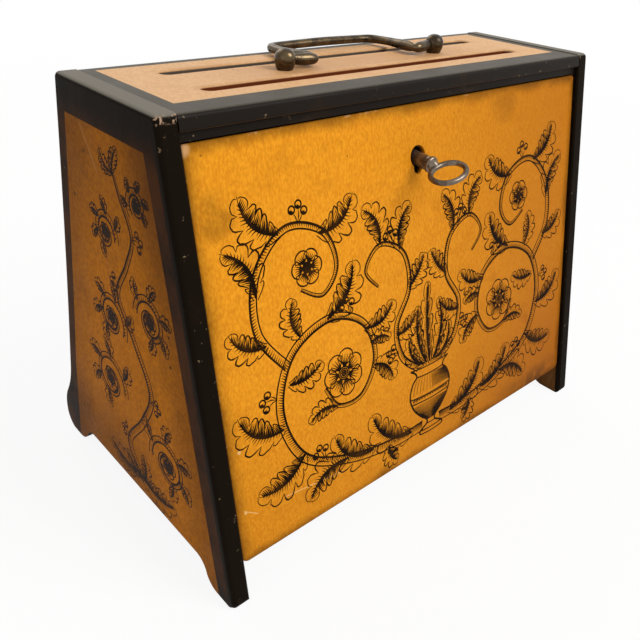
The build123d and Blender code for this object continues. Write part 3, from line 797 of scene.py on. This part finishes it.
def leaf(drawing, root, tip, sag, width, lobes=5, shade=1):
    # a lobed leaf on a bowed rib, its shaded half hatched close and the other half lightly
    rib = bow(root, tip, sag)
    length = (tip - root).length
    drawing.stroke(rib, ink["outline"] * 1.25, (1.3, 0.9, 0.3))
    for hand in bothSides:
        edge = []
        count = lobes * 7
        for i in range(count + 1):
            t = i / count
            centre, way = along(rib, t)
            out = Vector((-way.y, way.x)) * hand
            full = math.sin(math.pi * min(1, t * 0.92 + 0.06)) ** 0.75
            notch = abs(math.sin(lobes * math.pi * t)) ** 0.5
            lean = way * (notch - 0.5) * length * 0.07
            edge.append(centre + out * width * full * (0.45 + 0.55 * notch) + lean)
        drawing.stroke(edge, ink["outline"], (0.6, 1.1, 0.5))
        gap, far, weight = hatching["close" if hand == shade else "light"]
        gaps = max(9, int(length / gap))
        for i in range(1, gaps):
            t = i / gaps * 0.92
            centre, _ = along(rib, t)
            rim, _ = along(edge, min(0.98, t + 0.07))
            reach = far * (0.75 + 0.25 * random.random())
            line = bow(centre, centre.lerp(rim, reach), 0.06, 4)
            drawing.stroke(line, ink["hatch"] * weight, (1.5, 0.9, 0.2))


def vine(drawing, line, thick, shade=1, hatchGap=0.95):
    # a stem drawn as two lines, with short hatching across its shaded side
    sides = {}
    for hand in bothSides:
        side = []
        for i in range(len(line)):
            t = i / (len(line) - 1)
            centre, way = along(line, t)
            side.append(centre + Vector((-way.y, way.x)) * hand * thick * (1 - 0.7 * t) / 2)
        sides[hand] = side
        drawing.stroke(side, ink["outline"] * (1.5 if hand == shade else 1.0), (0.8, 1.0, 0.5))
    length = sum((b - a).length for a, b in zip(line, line[1:]))
    count = int(length / hatchGap)
    for i in range(1, count):
        a, _ = along(sides[shade], i / count)
        b, _ = along(sides[-shade], (i + 0.8) / count)
        drawing.stroke([a, a.lerp(b, 0.4), a.lerp(b, 0.75)], ink["hatch"] * 1.1, (1.3, 0.8, 0.2))


def ring(drawing, centre, radius, sides):
    line = [centre + direction(k * math.tau / sides) * radius for k in range(sides + 1)]
    drawing.stroke(line, ink["outline"], (1, 1, 1))


def rosette(drawing, centre, radius, petals):
    for k in range(petals):
        out = direction(math.tau * k / petals)
        turn = Vector((-out.y, out.x))
        half = math.pi / petals
        points = [centre + out * radius * 0.28]
        for i in range(9):
            t = i / 8 * 2 - 1
            reach = 0.62 + 0.38 * math.cos(t * math.pi / 2) ** 0.5
            points.append(centre + out * radius * reach + turn * radius * math.sin(half) * 0.95 * t)
        points.append(centre + out * radius * 0.28)
        drawing.stroke(points, ink["outline"], (0.8, 1, 0.8))
        for lean in (-0.6, -0.35, -0.1, 0.15, 0.4):
            vein = [centre + out * radius * reach + turn * radius * lean * spread
                    for reach, spread in ((0.3, 0.1), (0.52, 0.35), (0.78, 0.6))]
            drawing.stroke(vein, ink["hatch"] * 1.2, (1.5, 1, 0.3))
    for part in (0.27, 0.19, 0.11, 0.04):
        ring(drawing, centre, radius * part, 16)


def berries(drawing, root, way, count, size):
    # a small spray of round fruit on short stalks
    for k in range(count):
        out = direction(math.atan2(way.y, way.x) + (k - (count - 1) / 2) * 0.55)
        reach = size * (2.8 + 0.9 * (k % 2))
        centre = root + out * (reach + size)
        drawing.stroke(bow(root, root + out * reach, 0.12), ink["outline"] * 0.8)
        ring(drawing, centre, size, 14)
        for part in (0.25, 0.5, 0.75):
            arc = [centre + direction(angle) * size * part for angle in (-2.4, -1.6, -0.8, 0.0)]
            drawing.stroke(arc, ink["hatch"] * 1.2)


urn = {
    "profile": [(8, 7.5), (8, 9.5), (3.2, 12), (3.2, 14.5), (7, 17.5), (12, 23), (14.5, 30), (12.5, 36.5),
                (9.5, 39.5), (10.5, 42), (13.5, 44)],
    # level and half width
    "bands": [(7.5, 8), (9.5, 8), (12, 3.2), (14.5, 3.2), (26, 13.4), (29, 14.4), (39.5, 9.5), (44, 13.5)],
    "bowl": (15, 25), "shoulder": (30, 39), "scrolls": 13, "scrollUp": 27.4,
    # tips and bends of the leaves that stand in it, their foot and half width
    "plume": [((0, 86), 0.04), ((-7, 76), 0.12), ((7, 76), -0.12), ((-14, 62), 0.2), ((14, 62), -0.2)],
    "plumeFoot": 45, "plumeHalf": 4.6,
}


def urnDrawing(drawing):
    # a footed urn shaded with upright flutes
    right = smooth(vectors(urn["profile"]), 8)
    for line in (right, [Vector((-p.x, p.y)) for p in right]):
        drawing.stroke(line, ink["outline"] * 1.4, (1, 1, 1))
    for level, half in urn["bands"]:
        band = bow(Vector((-half, level)), Vector((half, level)), -0.035)
        drawing.stroke(band, ink["outline"], (1, 0.8, 1))
    for k in range(-17, 18):
        part = k / 18
        thick = 0.7 + 0.9 * max(0, part) + 0.5 * max(0, -part - 0.5)
        low, high = urn["bowl"]
        flute = [Vector((part * p.x, p.y - 0.5)) for p in right if low < p.y < high]
        drawing.stroke(flute, ink["hatch"] * thick, (0.5, 1, 0.8))
        low, high = urn["shoulder"]
        flute = [Vector((part * p.x, p.y - 0.4)) for p in right if low < p.y < high]
        if part > 0.1 or k % 3 == 0:
            drawing.stroke(flute, ink["hatch"] * thick, (0.8, 1, 0.4))
    for k in range(urn["scrolls"]):
        centre = Vector(((2 * k + 1 - urn["scrolls"]) * 0.98, urn["scrollUp"]))
        drawing.stroke(spiral(centre, 0.9, 0, 1.2, 1, 0.2, 10), ink["hatch"] * 1.2, (1, 1, 1))


# one half of a pair of scrolling branches that spring from the urn's foot
branches = {
    "stems": [
        # corners, thickness, shaded side
        ([(6, 12), (26, 12), (54, 17), (80, 30), (90, 55), (82, 78), (61, 87), (42, 79), (36, 61), (45, 46),
          (59, 46), (66, 57)], 4.8, 1),
        ([(84, 74), (96, 92), (94, 114), (79, 128), (61, 123), (55, 108), (63, 98), (74, 103)], 3.6, -1),
        ([(8, 44), (19, 54), (22, 70), (13, 86), (16, 103), (30, 110), (39, 101), (32, 92)], 3.2, 1),
    ],
    "rosettes": [((55, 60), 11.0, 7), ((70, 111), 7.5, 6)],
    # root, tip, bend and half width
    "leaves": [
        ((14, 12), (40, 33), -0.2, 8.5), ((30, 12), (24, 1.5), 0.2, 5.5), ((40, 15), (63, 33), -0.22, 8.0),
        ((56, 18), (80, 7), 0.2, 8.0), ((80, 32), (106, 24), -0.2, 8.0), ((89, 48), (110, 62), -0.22, 8.0),
        ((84, 66), (66, 70), 0.15, 5.5), ((62, 87), (46, 108), 0.2, 8.0), ((76, 84), (78, 101), -0.2, 5.5),
        ((41, 76), (23, 84), 0.22, 6.5), ((37, 57), (25, 45), -0.2, 6.0), ((93, 86), (109, 96), -0.2, 6.0),
        ((95, 106), (108, 126), 0.2, 7.0), ((82, 127), (98, 144), -0.2, 7.5),
        ((63, 123), (44, 135), 0.22, 7.5), ((22, 66), (8, 74), 0.2, 5.5), ((13, 86), (2, 100), 0.1, 6.0),
        ((30, 110), (40, 127), 0.22, 6.5), ((18, 105), (10, 124), -0.2, 6.0), ((60, 46), (76, 44), 0.2, 4.5),
        ((38, 68), (26, 66), -0.2, 4.0),
    ],
    # place and direction
    "berries": [((70, 24), (0.3, 1)), ((91, 62), (1, 0.2)), ((73, 129), (-0.2, 1)), ((23, 108), (0.1, 1)),
                ((21, 56), (1, 0.4)), ((50, 85), (0.2, 1))],
}


def frontDrawing():
    drawing = Drawing()
    half = Drawing()
    for corners, thick, shade in branches["stems"]:
        vine(half, smooth(vectors(corners)), thick, shade)
    for centre, radius, petals in branches["rosettes"]:
        rosette(half, Vector(centre), radius, petals)
    for start, end, sag, width in branches["leaves"]:
        leaf(half, Vector(start), Vector(end), sag, width, 5, 1 if sag < 0 else -1)
    for at, way in branches["berries"]:
        berries(half, Vector(at), Vector(way), 3, 1.5)
    for line, radii in half.strokes:
        drawing.strokes.append((line, radii))
        drawing.strokes.append(([Vector((-p.x, p.y)) for p in line], radii))
    urnDrawing(drawing)
    for tip, sag in urn["plume"]:
        leaf(drawing, Vector((tip[0] * 0.3, urn["plumeFoot"])), Vector(tip), sag, urn["plumeHalf"], 5, -1)
    return drawing


# one wavy stem with scrolls to either side; across is measured towards the front
sideStem = {
    "line": [(2, 19), (-9, 36), (5, 56), (14, 76), (3, 97), (-7, 113), (2, 129), (8, 143), (1, 157),
             (-3, 166)],
    # start, centre, radius, turns and hand
    "curls": [((4, 58), (-22, 64), 14, 1.9, 1), ((-6, 40), (24, 45), 14, 1.9, -1),
              ((12, 84), (-15, 99), 12, 1.8, 1), ((-6, 112), (17, 112), 11, 1.8, -1),
              ((4, 134), (-13, 138), 9, 1.7, 1), ((6, 148), (13, 157), 6.5, 1.6, -1)],
    "leaves": [((-1, 23), (-29, 25), 0.14, 7.0), ((0, 21), (29, 24), -0.14, 7.0),
               ((1, 21), (-12, 30), 0.2, 4.5), ((2, 20), (2, 36), -0.15, 4.5),
               ((-3, 164), (2, 174), 0.1, 3.2), ((-3, 164), (-11, 171), 0.2, 3.2)],
    "berries": [((-8, 40), (-1, 0.3)), ((13, 72), (1, -0.1)), ((-5, 118), (-1, 0)), ((8, 142), (1, 0.2))],
    "thick": 4.2, "curlThick": 3.0, "curlLeaves": 5, "middle": -6.0, "shear": -0.02,
}


def sideDrawing():
    drawing = Drawing()
    vine(drawing, smooth(vectors(sideStem["line"])), sideStem["thick"])
    for start, centre, radius, turns, hand in sideStem["curls"]:
        centre, start = Vector(centre), Vector(start)
        angle = math.atan2(start.y - centre.y, start.x - centre.x)
        vine(drawing, spiral(centre, radius, angle, turns, hand), sideStem["curlThick"], hand)
        rosette(drawing, centre, radius * 0.42, 6)
        for k in range(sideStem["curlLeaves"]):
            out = direction(angle + hand * (0.7 + k * 0.95))
            turn = Vector((-out.y, out.x)) * hand
            at = centre + out * radius * (0.96 - 0.1 * k)
            tip = at + out * radius * 0.6 + turn * radius * 0.45
            leaf(drawing, at, tip, -0.2 * hand, radius * 0.27, 4, hand)
    for start, end, sag, width in sideStem["leaves"]:
        leaf(drawing, Vector(start), Vector(end), sag, width, 5)
    for at, way in sideStem["berries"]:
        berries(drawing, Vector(at), Vector(way), 3, 1.4)
    return drawing


def drawn(name, drawing, material, toWorld, body):
    # every stroke becomes a thin tapered ribbon of ink lying on the board
    bpy.ops.object.select_all(action="DESELECT")
    bpy.ops.curve.primitive_nurbs_path_add(location=(0, 0, 0))
    piece = bpy.context.object
    curve = piece.data
    curve.splines.clear()
    curve.dimensions = "3D"
    curve.bevel_depth = 1.0
    curve.bevel_resolution = 0
    curve.resolution_u = 1
    for line, radii in drawing.strokes:
        spline = curve.splines.new("POLY")
        spline.points.add(len(line) - 1)
        for knot, point, radius in zip(spline.points, line, radii):
            knot.co = (point.x, 0, point.y, 1)
            knot.radius = radius
    curve.use_fill_caps = True
    bpy.ops.object.convert(target="MESH")
    flat = Matrix.Diagonal((mm, mm * ink["flat"], mm, 1))
    finished(piece, name, material, body, toWorld @ flat)
    print(name, len(drawing.strokes), "strokes,", len(piece.data.polygons), "faces")


frontInk = inkFinish("frontInk", *ink["front"])
sideInk = inkFinish("sideInk", *ink["side"])
onFront = Matrix.Translation((0, -boardThick - ink["lift"] * mm, ink["frontUp"] * mm))
drawn("penwork_front", frontDrawing(), frontInk, boardFrame @ onFront, "front")
for sideName, hand in (("left", -1), ("right", 1)):
    # across runs towards the front on both sides
    onSide = Matrix(((0, hand, 0, hand * (caseHalf + ink["lift"] * mm)),
                     (-1, 0, sideStem["shear"], sideStem["middle"] * mm), (0, 0, 1, 0), (0, 0, 0, 1)))
    drawn("penwork_side_" + sideName, sideDrawing(), sideInk, onSide, "case")

# lift is how far the floor is raised to white for the eye near the object; it is full beyond far
stage = {"floor": "#fbfaf9", "size": 6.0, "lift": 0.9, "near": 0.4, "far": 1.2, "ambient": 0.42,
         "aim": (0, 0, 0.08)}
lamps = {
    # place, size and power
    "key": ((0.75, -1.35, 1.5), 1.0, 29),
    "fill": ((-1.6, -0.7, 0.7), 1.2, 2.5),
    "back": ((0.0, 1.5, 1.5), 1.2, 9),
}


def seenByEye(tree):
    # 1 for what the camera, gloss and glass see, 0 for what lights the object
    path = tree.nodes.new("ShaderNodeLightPath")
    total = path.outputs["Is Camera Ray"]
    for ray in ("Is Glossy Ray", "Is Transmission Ray"):
        both = tree.nodes.new("ShaderNodeMath")
        both.operation = "MAXIMUM"
        tree.links.new(total, both.inputs[0])
        tree.links.new(path.outputs[ray], both.inputs[1])
        total = both.outputs[0]
    return total


def floorAndLight():
    bpy.ops.object.select_all(action="DESELECT")
    bpy.ops.mesh.primitive_plane_add(size=stage["size"], location=(0, 0, 0))
    floor = bpy.context.object
    floor.name = "studio_floor"
    paper = Finish("paper", Roughness=0.9, Specular_IOR_Level=0.1, Base_Color=tone(stage["floor"]))
    white = paper.node("ShaderNodeEmission", {}, {"Color": tone("#ffffff"), "Strength": 1.0})
    far = (paper.x * paper.x + paper.y * paper.y).ramp(stage["near"] ** 2, stage["far"] ** 2)
    lift = far * (1 - stage["lift"]) + stage["lift"]
    paper.node("ShaderNodeMixShader", {}, {0: Signal(paper, seenByEye(paper.tree)) * lift,
                                           1: Signal(paper, paper.shader.outputs[0]), 2: white})
    mixed = paper.tree.nodes["Mix Shader"].outputs[0]
    paper.tree.links.new(mixed, paper.tree.nodes["Material Output"].inputs["Surface"])
    floor.data.materials.append(paper.material)
    world = bpy.data.worlds.new("studio")
    bpy.context.scene.world = world
    world.use_nodes = True
    tree = world.node_tree
    sky = tree.nodes["Background"]
    sky.inputs["Color"].default_value = tone("#ffffff")
    level = tree.nodes.new("ShaderNodeMapRange")
    tree.links.new(seenByEye(tree), level.inputs["Value"])
    level.inputs["To Min"].default_value = stage["ambient"]
    level.inputs["To Max"].default_value = 1.0
    tree.links.new(level.outputs[0], sky.inputs["Strength"])
    for name, (place, size, power) in lamps.items():
        bpy.ops.object.light_add(type="AREA", location=place)
        lamp = bpy.context.object
        lamp.name = name + "_lamp"
        lamp.data.size = size
        lamp.data.energy = power
        lamp.rotation_euler = (Vector(stage["aim"]) - Vector(place)).to_track_quat("-Z", "Y").to_euler()


view = {"place": (-227.72, -224.74, 247.67), "yaw": -43.482, "pitch": -30.961, "roll": 3.854,
        "focal": 688.364, "width": 640}


def camera():
    yaw, pitch, roll = (math.radians(view[k]) for k in ("yaw", "pitch", "roll"))
    ahead = Vector((-math.sin(yaw) * math.cos(pitch), math.cos(yaw) * math.cos(pitch), math.sin(pitch)))
    right = ahead.cross(Vector((0, 0, 1))).normalized()
    up = right.cross(ahead)
    across = right * math.cos(roll) + up * math.sin(roll)
    above = up * math.cos(roll) - right * math.sin(roll)
    turn = Matrix((across, above, -ahead)).transposed()
    bpy.ops.object.camera_add(location=Vector(view["place"]) * mm, rotation=turn.to_euler())
    lens = bpy.context.object
    lens.data.sensor_width = 36.0
    lens.data.sensor_fit = "HORIZONTAL"
    lens.data.lens = view["focal"] / view["width"] * 36.0
    lens.data.clip_start = 0.01
    bpy.context.scene.camera = lens


floorAndLight()
camera()
bpy.context.scene.view_settings.view_transform = "Standard"
print("stage is set")
